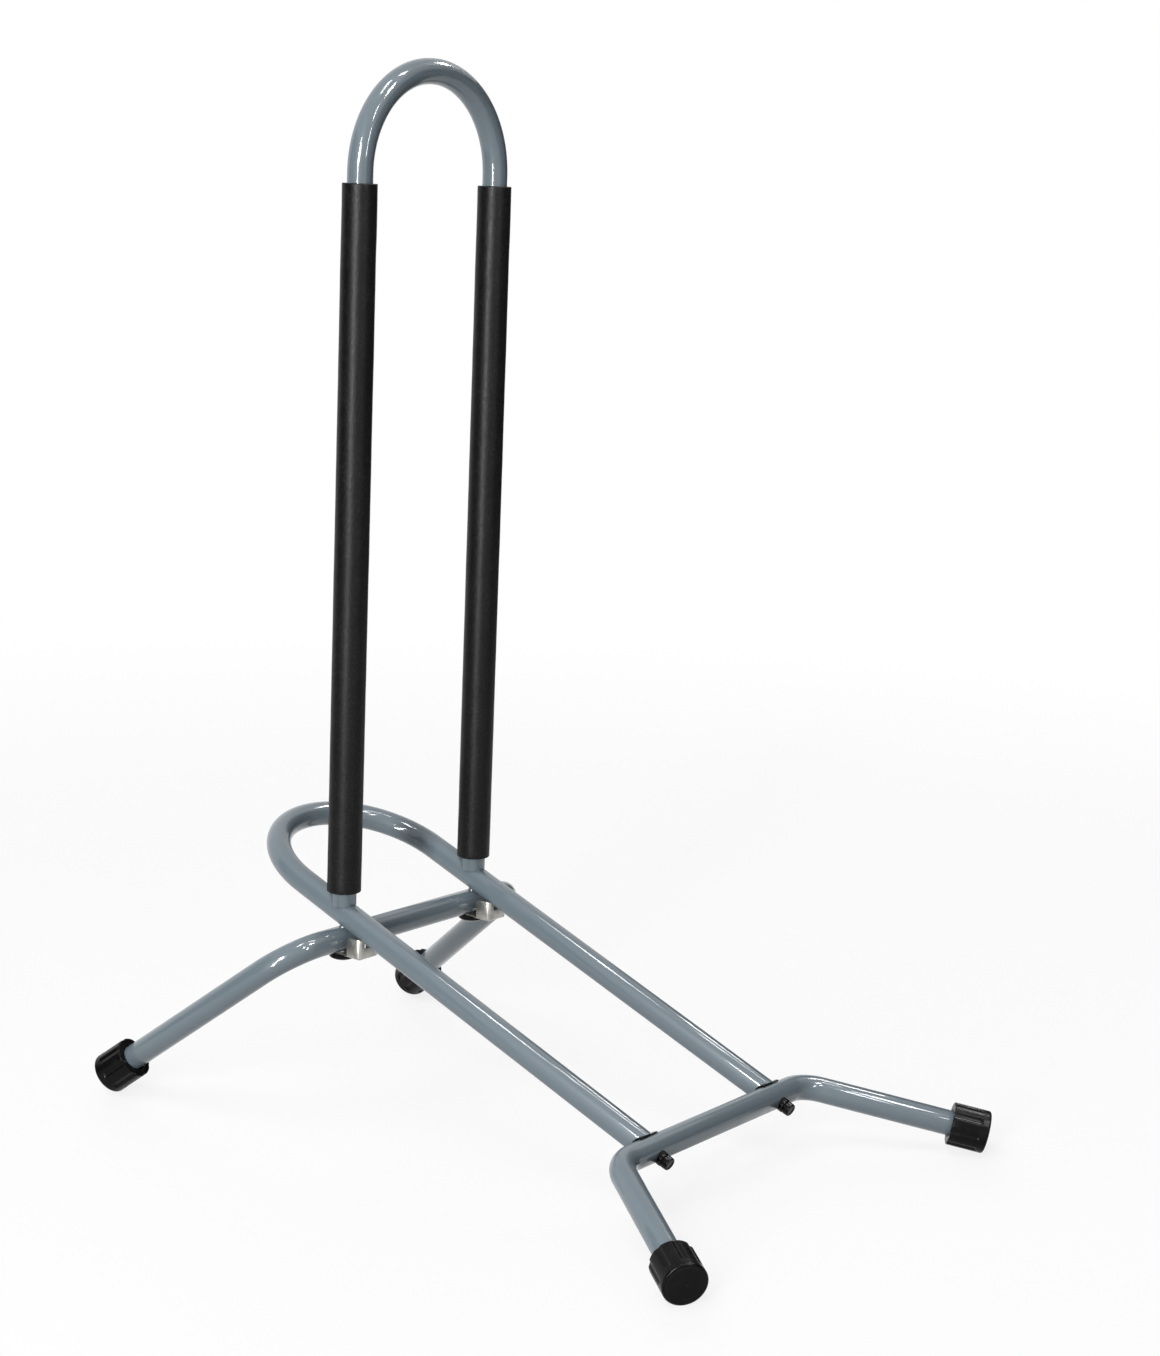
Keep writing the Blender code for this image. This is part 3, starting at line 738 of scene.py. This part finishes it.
def makeTubes():
    look = tubeLook
    frontHoles = [boltHole(boltPlace(frontCorner, sign), forward, look["frontHoleLength"])
                  for sign in sides.values()]
    rearHoles = [boltHole(boltPlace(rearCorner, sign), down, look["rearHoleLength"])
                 for sign in sides.values()]
    turnRadius = uprightY - look["crownFlat"]

    frontEnd = boltPlace(frontCorner, 1)
    back = stand["frameLength"] / math.cos(slope) + stand["frameTail"] + uprightY
    middle = boltPlace(frontCorner, 0)
    saddleRoom = cylinder(seatRadius + look["saddleRoom"], 4 * uprightY, middle, across)
    sweptTube("base_frame_tube", bothSides([frontEnd - forward * back, frontEnd]), turnRadius,
              [saddleRoom] + rearHoles, "base_frame")

    shoulder = Vector((uprightX, uprightY, hoopHigh.z - tubeRadius))
    foot = Vector((uprightX, uprightY, frameCrownZ - tubeRadius * math.tan(slope) - look["copeDepth"]))
    copes = [cylinder(seatRadius, 8 * tubeRadius, Vector((uprightX, sign * uprightY, frameZ)), forward)
             for sign in sides.values()]
    sweptTube("hoop_tube", bothSides([shoulder, foot]), turnRadius, copes, "hoop")

    inset = capLook["endThickness"] + stand["seatGap"]
    end = frontCorner + frontFoot * (look["frontFootLength"] - inset)
    sweptTube("front_leg_tube", bothSides([frontCorner, end]), look["frontBend"], frontHoles,
              "front_cross_leg")
    end = rearCorner + rearFoot * (rearFootLength - inset)
    sweptTube("rear_leg_tube", bothSides([rearCorner, end]), look["rearBend"], rearHoles,
              "rear_cross_leg")
    print("tubes bent and coped")


sleeveLook = {
    "edgeRadius": 0.0006,
    "arcSteps": 4,
    "sides": 96,
    "ringStep": 0.0032,
    "turn": 1.1,
    "swell": 0.00045,
    "swellScale": 34,
    "swellLevel": 0.75,
    "boreSkin": 0.0004,
    "fill": 0.9,
}


def makeSleeves():
    look = sleeveLook
    outer = (sleeveHigh.x - sleeveLow.x) / 2
    length = sleeveHigh.z - sleeveLow.z
    edge = look["edgeRadius"]
    middle = length / 2
    profile = rounded([(outer, middle, 0), (outer, length, edge), (seatRadius, length, edge / 2),
                       (seatRadius, 0, edge / 2), (outer, 0, edge), (outer, middle, 0)], look["arcSteps"])
    points = spread(profile, look["ringStep"])[:-1]
    for side, sign in sides.items():
        mesh = turnedMesh(points, look["sides"], True)
        mesh.transform(Matrix.Rotation(sign * look["turn"], 4, "Z"))
        mesh = grow(mesh, foamSkin, {
            "Swell": look["swell"], "Swell scale": look["swellScale"], "Swell level": look["swellLevel"],
            "Bore": seatRadius + look["boreSkin"], "Outside": outer, "Material": foam})
        mesh.transform(Matrix.Translation((uprightX, sign * uprightY, sleeveLow.z)))
        sleeve = addPiece(f"foam_{side}", mesh, foam, "black_foam", f"foam_sleeve_{side}")
    print("foam sleeves made")


def capMesh():
    # the end has a raised rim and the pit of its gate, and the mouth a rounded lead
    look = capLook
    radius, length = look["radius"], look["length"]
    floor = length - look["endThickness"]
    rimIn = look["rimRadius"] - look["rimWidth"]
    low = length - look["rimHeight"]
    pit = low - look["gateDepth"]
    face = [(0, pit, 0), (look["gateRadius"] * look["gateFloorShare"], pit, look["gateRound"]),
            (look["gateRadius"], low, look["gateRound"]), (rimIn, low, look["rimFootRound"]),
            (look["rimRadius"], length, look["rimRound"]), (radius, length, look["edgeRadius"])]
    side = [(radius, 0, look["mouthRound"]), (seatRadius + look["mouthLead"], 0, look["mouthLeadRound"]),
            (seatRadius, look["mouthLead"], look["mouthFootRound"]),
            (seatRadius, floor, look["floorRound"]), (0, floor, 0)]
    profile = spread(rounded(face + side, look["arcSteps"]), look["ringStep"])
    return turnedMesh(profile, look["sides"], False)


def makeCaps():
    look = capLook
    feet = {"front": (frontCorner, frontFoot, tubeLook["frontFootLength"]),
            "rear": (rearCorner, rearFoot, rearFootLength)}
    for side, sign in sides.items():
        for end, (corner, foot, reach) in feet.items():
            direction = mirrored(foot, sign)
            mesh = grow(capMesh(), capFlutes, {
                "Flute count": look["fluteCount"], "Flute radius": look["fluteRadius"],
                "Flute depth": look["fluteDepth"], "Cap radius": look["radius"],
                "Flute end": look["length"] - look["fluteEndBand"], "End taper": look["fluteTaper"],
                "Material": rubber})
            mouth = mirrored(corner, sign) + direction * (reach - look["length"])
            mesh.transform(facing(direction, mouth))
            addPiece(f"cap_{end}_{side}", mesh, rubber, "black_rubber", f"foot_cap_{end}_{side}")
    print("foot caps made")


seatLook = {
    "sides": 64,
    "radius": 0.0053,
    "height": 0.0035,
    "bite": 0.0004,
    "waist": 0.0005,
    "waistRound": 0.0005,
    "shoulder": 0.0012,
    "shoulderRound": 0.0006,
    "edgeSoftening": 0.0002,
}
frontCoverLook = {
    "sides": 64,
    "radius": 0.0050,
    "headRadius": 0.0039,
    "headHeight": 0.0034,
    "topWall": 0.0012,
    "dishRadius": 0.0030,
    "dishDepth": 0.0006,
    "dishRound": 0.0004,
    "dishFlare": 0.0003,
    "crownTaper": 0.0002,
    "crownRound": 0.0009,
    "skirtHeight": 0.0006,
    "skirtTaper": 0.0003,
    "skirtRound": 0.0004,
    "arcSteps": 5,
}


def seatProfile(top):
    look = seatLook
    radius, hole = look["radius"], stand["boltHoleRadius"]
    base = math.sqrt(tubeRadius ** 2 - radius ** 2) - look["bite"]
    return rounded([(radius, base, 0), (hole, base, 0), (hole, top, 0),
                    (radius - look["waist"], top, look["waistRound"]),
                    (radius, top - look["shoulder"], look["shoulderRound"]), (radius, base, 0)])[:-1]


def frontCoverProfile(base):
    look = frontCoverLook
    radius, gap = look["radius"], stand["seatGap"]
    pocket = look["headRadius"] + gap
    pocketTop = base + look["headHeight"] + gap
    top = pocketTop + look["topWall"]
    dishFloor = top - look["dishDepth"]
    return rounded([(0, dishFloor, 0), (look["dishRadius"], dishFloor, look["dishRound"]),
                    (look["dishRadius"] + look["dishFlare"], top, look["dishFlare"]),
                    (radius - look["crownTaper"], top, look["crownRound"]),
                    (radius, base + look["skirtHeight"], look["skirtRound"]),
                    (radius - look["skirtTaper"], base, 0), (pocket, base, 0), (pocket, pocketTop, 0),
                    (0, pocketTop, 0)], look["arcSteps"])


def makeSeats():
    # a moulded seat hollowed to the leg, and the cover that snaps over the bolt's head
    top = seatRadius + seatLook["height"]
    for side, sign in sides.items():
        place = boltPlace(frontCorner, sign)
        seat = turnedMesh(seatProfile(top), seatLook["sides"], True)
        seat.transform(facing(forward, place))
        seat = cutBy(seat, [cylinder(seatRadius, 8 * tubeRadius, place, across)])
        seat = softenEdges(seat, seatLook["edgeSoftening"])
        addPiece(f"seat_front_{side}", seat, plastic, "black_plastic", f"bolt_seat_front_{side}")
        cover = turnedMesh(frontCoverProfile(top + stand["seatGap"]), frontCoverLook["sides"], False)
        cover.transform(facing(forward, place))
        addPiece(f"cover_front_{side}", cover, plastic, "black_plastic", f"bolt_cover_front_{side}")


clipLook = {
    "thickness": 0.0015,
    "width": 0.0222,
    "reach": 0.0280,
    "tabEdge": 0.0070,
    "earLength": 0.0135,
    "earHeight": 0.0167,
    "earRound": 0.0030,
    "lipHeight": 0.0095,
    "pressRadius": 0.0052,
    "bendRadius": 0.0026,
    "edgeSoftening": 0.0003,
    "arcSteps": 12,
    "room": 0.040,
    "margin": 0.001,
    "holeLength": 0.06,
}
rearCoverLook = {
    "sides": 64,
    "radius": 0.0105,
    "washerRadius": 0.0070,
    "washerThickness": 0.0010,
    "headHeight": 0.0018,
    "topWall": 0.0012,
    "crownShare": 0.55,
    "crownRound": 0.006,
    "shoulder": 0.0021,
    "shoulderRound": 0.0022,
    "arcSteps": 8,
}


def makeRearCovers():
    look = rearCoverLook
    radius, gap = look["radius"], stand["seatGap"]
    base = seatRadius + clipLook["thickness"] + gap
    pocket = look["washerRadius"] + gap
    pocketTop = base + look["washerThickness"] + gap + look["headHeight"] + gap
    top = pocketTop + look["topWall"]
    profile = rounded([(0, top, 0), (radius * look["crownShare"], top, look["crownRound"]),
                       (radius, top - look["shoulder"], look["shoulderRound"]), (radius, base, 0),
                       (pocket, base, 0), (pocket, pocketTop, 0), (0, pocketTop, 0)], look["arcSteps"])
    for side, sign in sides.items():
        mesh = turnedMesh(profile, look["sides"], False)
        mesh.transform(facing(down, boltPlace(rearCorner, sign)))
        addPiece(f"cover_rear_{side}", mesh, plastic, "black_plastic", f"bolt_cover_rear_{side}")


saddleLook = {
    "thickness": 0.0010,
    "width": 0.019,
    "wrap": 120,
    "steps": 32,
    "columns": 2,
    "holeLength": 0.03,
    "edgeSoftening": 0.0003,
}


def makeSaddles():
    # a thin strip wrapped round the back of the front leg, with the bolt's hole through it
    look = saddleLook
    middle = seatRadius + look["thickness"] / 2
    wrap = math.radians(look["wrap"])
    points = []
    for step in range(look["steps"] + 1):
        angle = math.pi - slope + wrap * (step / look["steps"] - 0.5)
        points.append(Vector((middle * math.cos(angle), middle * math.sin(angle))))
    for side, sign in sides.items():
        place = boltPlace(frontCorner, sign)
        mesh = thicken(ribbonMesh(points, look["width"], look["columns"]), look["thickness"], 0)
        mesh.transform(Matrix.Translation(place))
        mesh = cutBy(tidyMesh(mesh, turnOut=True), [boltHole(place, forward, look["holeLength"])])
        mesh = softenEdges(mesh, look["edgeSoftening"])
        addPiece(f"saddle_{side}", mesh, plastic, "black_plastic", f"saddle_front_{side}")


def trayBlock(inset):
    # the block that the sheet is pressed round, or with the sheet's thickness as inset the one inside it
    look = clipLook
    room, steps = look["room"], look["arcSteps"]
    radius = look["pressRadius"] - inset
    edge = look["width"] / 2 - inset
    reach = look["reach"] - inset
    floor = inset - seatRadius - look["thickness"]
    back = -room - inset
    side = rounded([(back, room, 0), (back, floor, 0),
                    (reach, floor, radius), (reach, room, 0)], steps)
    front = rounded([(-edge, room, 0), (-edge, floor, radius),
                     (edge, floor, radius), (edge, room, 0)], steps)
    plan = rounded([(back, -edge, 0), (reach, -edge, radius),
                    (reach, edge, radius), (back, edge, 0)], steps)
    block = plateMesh([(point.x, 0, point.y) for point in side], (0, 2 * room, 0))
    for outline, along in (([(0, point.x, point.y) for point in front], (4 * room, 0, 0)),
                           ([(point.x, point.y, 0) for point in plan], (0, 0, 4 * room))):
        block = cutBy(block, [plateMesh(outline, along)], "INTERSECT")
    return block


def makeClips():
    # a tray pressed from sheet: the tab lies under the rear leg, the ears stand up beside the base frame
    look = clipLook
    reach, room, margin, tabEdge = look["reach"], look["room"], look["margin"], look["tabEdge"]
    top = -seatRadius
    bottom = top - look["thickness"]
    earBack = reach - look["earLength"]
    earTop = bottom + look["earHeight"]
    lipTop = bottom + look["lipHeight"]
    lipBack = reach - look["pressRadius"]
    lipEdge = look["width"] / 2 - look["pressRadius"]
    outside = reach + margin
    window = plateMesh([(lipBack, 0, lipTop), (outside, 0, lipTop),
                        (outside, 0, room), (lipBack, 0, room)], (0, 2 * lipEdge, 0))
    hole = boltHole(Vector((0, 0, 0)), down, look["holeLength"])
    sheet = cutBy(trayBlock(0), [trayBlock(look["thickness"]), window, hole])

    # what is kept of the tray, seen from the side and from above
    profile = rounded([(-tabEdge, bottom - margin, 0), (outside, bottom - margin, 0),
                       (outside, earTop, look["earRound"] + margin), (earBack, earTop, look["earRound"]),
                       (earBack, top, look["bendRadius"]), (-tabEdge, top, 0)], look["arcSteps"])
    plan = [(-tabEdge - margin, tabEdge), (seatRadius, tabEdge), (earBack, room), (outside, room),
            (outside, -room), (earBack, -room), (seatRadius, -tabEdge), (-tabEdge - margin, -tabEdge)]
    for outline, along in (([(point.x, 0, point.y) for point in profile], (0, 2 * room, 0)),
                           ([(x, y, 0) for x, y in plan], (0, 0, 2 * room))):
        sheet = cutBy(sheet, [plateMesh(outline, along)], "INTERSECT")
    sheet = softenEdges(sheet, look["edgeSoftening"])
    for side, sign in sides.items():
        mesh = sheet.copy()
        mesh.transform(Matrix.Translation(boltPlace(rearCorner, sign)))
        addPiece(f"clip_{side}", mesh, zinc, "zinc_plate", f"clip_rear_{side}")


def finishSolids():
    # the hardware inside keeps its solids and takes the finishes
    for name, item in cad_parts.items():
        if item.hide_render:
            continue
        item.data.materials.clear()
        item.data.materials.append(zinc if name.startswith("washer") else steel)
    print("inner hardware finished")


makeTubes()
makeSleeves()
makeCaps()
makeSeats()
makeRearCovers()
makeSaddles()
makeClips()
print("fasteners and clips made")
finishSolids()

viewLook = {
    "place": (1.2113, -1.5071, 0.7232),
    "yaw": 0.6655,
    "pitch": 0.1936,
    "roll": 0.0394,
    "focalPixels": 2686.6,
    "imageHeight": 1356,
    "sensorWidth": 36,
    "clipStart": 0.1,
    "clipEnd": 60,
}


def makeCamera():
    look = viewLook
    yaw, pitch, roll = look["yaw"], look["pitch"], look["roll"]
    back = Vector((math.sin(yaw) * math.cos(pitch), -math.cos(yaw) * math.cos(pitch), math.sin(pitch)))
    level = (-back).cross(Vector((0, 0, 1))).normalized()
    upright = level.cross(-back)
    right = level * math.cos(roll) + upright * math.sin(roll)
    up = -level * math.sin(roll) + upright * math.cos(roll)
    data = bpy.data.cameras.new("view")
    data.sensor_fit = "AUTO"
    data.sensor_width = look["sensorWidth"]
    # on an upright picture the sensor's width is taken along the height
    data.lens = look["focalPixels"] * look["sensorWidth"] / look["imageHeight"]
    data.dof.use_dof = False
    data.clip_start = look["clipStart"]
    data.clip_end = look["clipEnd"]
    camera = newObject("view", data)
    turn = Matrix((right, up, back)).transposed().to_4x4()
    camera.matrix_world = Matrix.Translation(look["place"]) @ turn
    bpy.context.scene.camera = camera


studioLook = {
    "floorSize": 40,
    "floorColour": (0.96, 0.96, 0.96, 1),
    "floorBounce": (0.20, 0.20, 0.20, 1),
    "floorSpecular": 0.1,
    "floorWhite": 0.80,
    "floorNear": 0.9,
    "floorFar": 2.2,
    "ambient": 0.24,
    "mattRoughness": 0.9,
    "cardColour": (0.02, 0.02, 0.02, 1),
    "cardLift": 0.002,
    "aim": (0, 0, 0.35),
    "standingHeight": 2,
    "sunSoftness": 40,
}

# soft suns that light the stand and don't show in its gloss: the way they shine, and their strength
suns = {
    "sky": ((0.25, 0.35, -1.0), 1.00),
    "fill": ((0.70, -0.75, -0.40), 1.30),
}

# each lamp panel: its place, its width and height, its power
keyPanel = ((0.90, -2.78, 1.16), (0.34, 2.3), 78)

# the panels from here on show in gloss alone
glintPanels = {
    "sleeveBand": ((0.89, -2.72, 1.16), (0.34, 2.3), 80),
    "archUpper": ((1.69, 0.28, 2.59), (0.50, 0.60), 36),
    "archLower": ((1.92, -0.56, 2.29), (0.22, 0.60), 16),
    "archLeft": ((1.15, -2.28, 1.36), (0.30, 0.70), 24),
    "archRight": ((2.39, -0.28, 1.34), (0.20, 0.70), 16),
    "top": ((0.20, -0.32, 2.70), (0.36, 0.60), 18),
    "topTwin": ((0.60, 0.50, 2.60), (0.20, 0.60), 10),
}

# this one is turned so that its long side gives one thin line along the right front foot
linePanel = ((0.15, 1.44, 1.94), (0.22, 0.40), 13)
lineAlong = (0.83, 0.48, -0.28)

# dark cards that stand round the stand and show in its gloss alone: compass angle from +X, distance, size
darkCards = {
    "cardRight": (30, 1.5, (1.3, 1.3)),
    "cardBack": (82, 1.5, (1.6, 1.3)),
    "cardLeft": (-128, 1.5, (1.5, 1.5)),
}


def addSun(name, direction, strength):
    data = bpy.data.lights.new(name, "SUN")
    data.energy = strength
    data.angle = math.radians(studioLook["sunSoftness"])
    sun = newObject(name, data)
    sun.rotation_mode = "QUATERNION"
    sun.rotation_quaternion = Vector(direction).to_track_quat("-Z", "Y")
    sun.visible_glossy = False


def addPanel(name, place, size, power, along=(0, 0, 1)):
    # a tall standing panel looks level, the others look at the middle of the stand
    data = bpy.data.lights.new(name, "AREA")
    data.shape = "RECTANGLE"
    data.size, data.size_y = size
    data.energy = power
    panel = newObject(name, data)
    aim = Vector(studioLook["aim"])
    if size[1] > studioLook["standingHeight"]:
        aim.z = place[2]
    back = (Vector(place) - aim).normalized()
    right = Vector(along).cross(back).normalized()
    turn = Matrix((right, back.cross(right), back)).transposed().to_4x4()
    panel.matrix_world = Matrix.Translation(place) @ turn
    return panel


def gridObject(name, width, height, matrix, material):
    # a flat rectangle that belongs to the studio
    shape = bmesh.new()
    bmesh.ops.create_grid(shape, x_segments=1, y_segments=1, size=0.5)
    bmesh.ops.scale(shape, verts=shape.verts, vec=(width, height, 1))
    bmesh.ops.transform(shape, verts=shape.verts, matrix=matrix)
    mesh = meshFrom(shape, name)
    mesh.materials.append(material)
    item = newObject(name, mesh)
    return item


def addCard(name, turn, distance, size, material):
    inward = -Vector((math.cos(math.radians(turn)), math.sin(math.radians(turn)), 0))
    place = Vector((0, 0, size[1] / 2 + studioLook["cardLift"])) - inward * distance
    card = gridObject(name, *size, facing(inward, place), material)
    card.visible_camera = False
    card.visible_diffuse = False
    card.visible_transmission = False
    card.visible_shadow = False


def backdropMask(field):
    # 1 where the camera sees the backdrop, straight or in gloss or glass, and 0 where it only lights
    path = field.node("ShaderNodeLightPath").socket.node
    seen = Field(field.tree, path.outputs["Is Camera Ray"])
    for label in ("Is Glossy Ray", "Is Transmission Ray"):
        seen = field.sum("MAXIMUM", seen, Field(field.tree, path.outputs[label]))
    return seen


def floorMaterial():
    look = studioLook
    material, field, shader = startMaterial("studio_floor")
    mask = backdropMask(field)
    field.feed(shader.inputs["Base Color"],
               field.mixColour(mask, look["floorBounce"], look["floorColour"]))
    shader.inputs["Roughness"].default_value = look["mattRoughness"]
    shader.inputs["Specular IOR Level"].default_value = look["floorSpecular"]
    # far out the floor turns into the white of the backdrop, so that no edge shows between them
    away = field.node("ShaderNodeVectorMath", {"operation": "LENGTH"}, {0: objectPlace(field)}, 1)
    share = field.node("ShaderNodeMapRange", {"interpolation_type": "SMOOTHSTEP"},
                       {"Value": away, "From Min": look["floorNear"], "From Max": look["floorFar"]})
    whiteShare = look["floorWhite"] + share * (1 - look["floorWhite"])
    white = field.node("ShaderNodeEmission", {}, {"Color": (1, 1, 1, 1), "Strength": 1.0})
    mixed = field.node("ShaderNodeMixShader", {},
                       {0: whiteShare * mask, 1: Field(field.tree, shader.outputs[0]), 2: white})
    field.feed(field.tree.nodes["Material Output"].inputs["Surface"], mixed)
    return material


def makeWorld():
    world = bpy.data.worlds.new("studio")
    world.use_nodes = True
    bpy.context.scene.world = world
    field = Field(world.node_tree)
    background = world.node_tree.nodes["Background"]
    background.inputs["Color"].default_value = (1, 1, 1, 1)
    ambient = studioLook["ambient"]
    field.feed(background.inputs["Strength"], ambient + backdropMask(field) * (1 - ambient))


def makeLamps():
    addPanel("key", *keyPanel)
    for name, values in glintPanels.items():
        addPanel(name, *values).visible_diffuse = False
    addPanel("line", *linePanel, along=lineAlong).visible_diffuse = False
    for name, values in suns.items():
        addSun(name, *values)


def makeCards():
    material, field, shader = startMaterial("studio_card")
    shader.inputs["Base Color"].default_value = studioLook["cardColour"]
    shader.inputs["Roughness"].default_value = studioLook["mattRoughness"]
    for name, values in darkCards.items():
        addCard(name, *values, material)


makeCamera()
floorSize = studioLook["floorSize"]
gridObject("studio_floor", floorSize, floorSize, Matrix.Identity(4), floorMaterial())
makeWorld()
makeLamps()
makeCards()
bpy.context.scene.view_settings.view_transform = "Standard"
print("studio set")
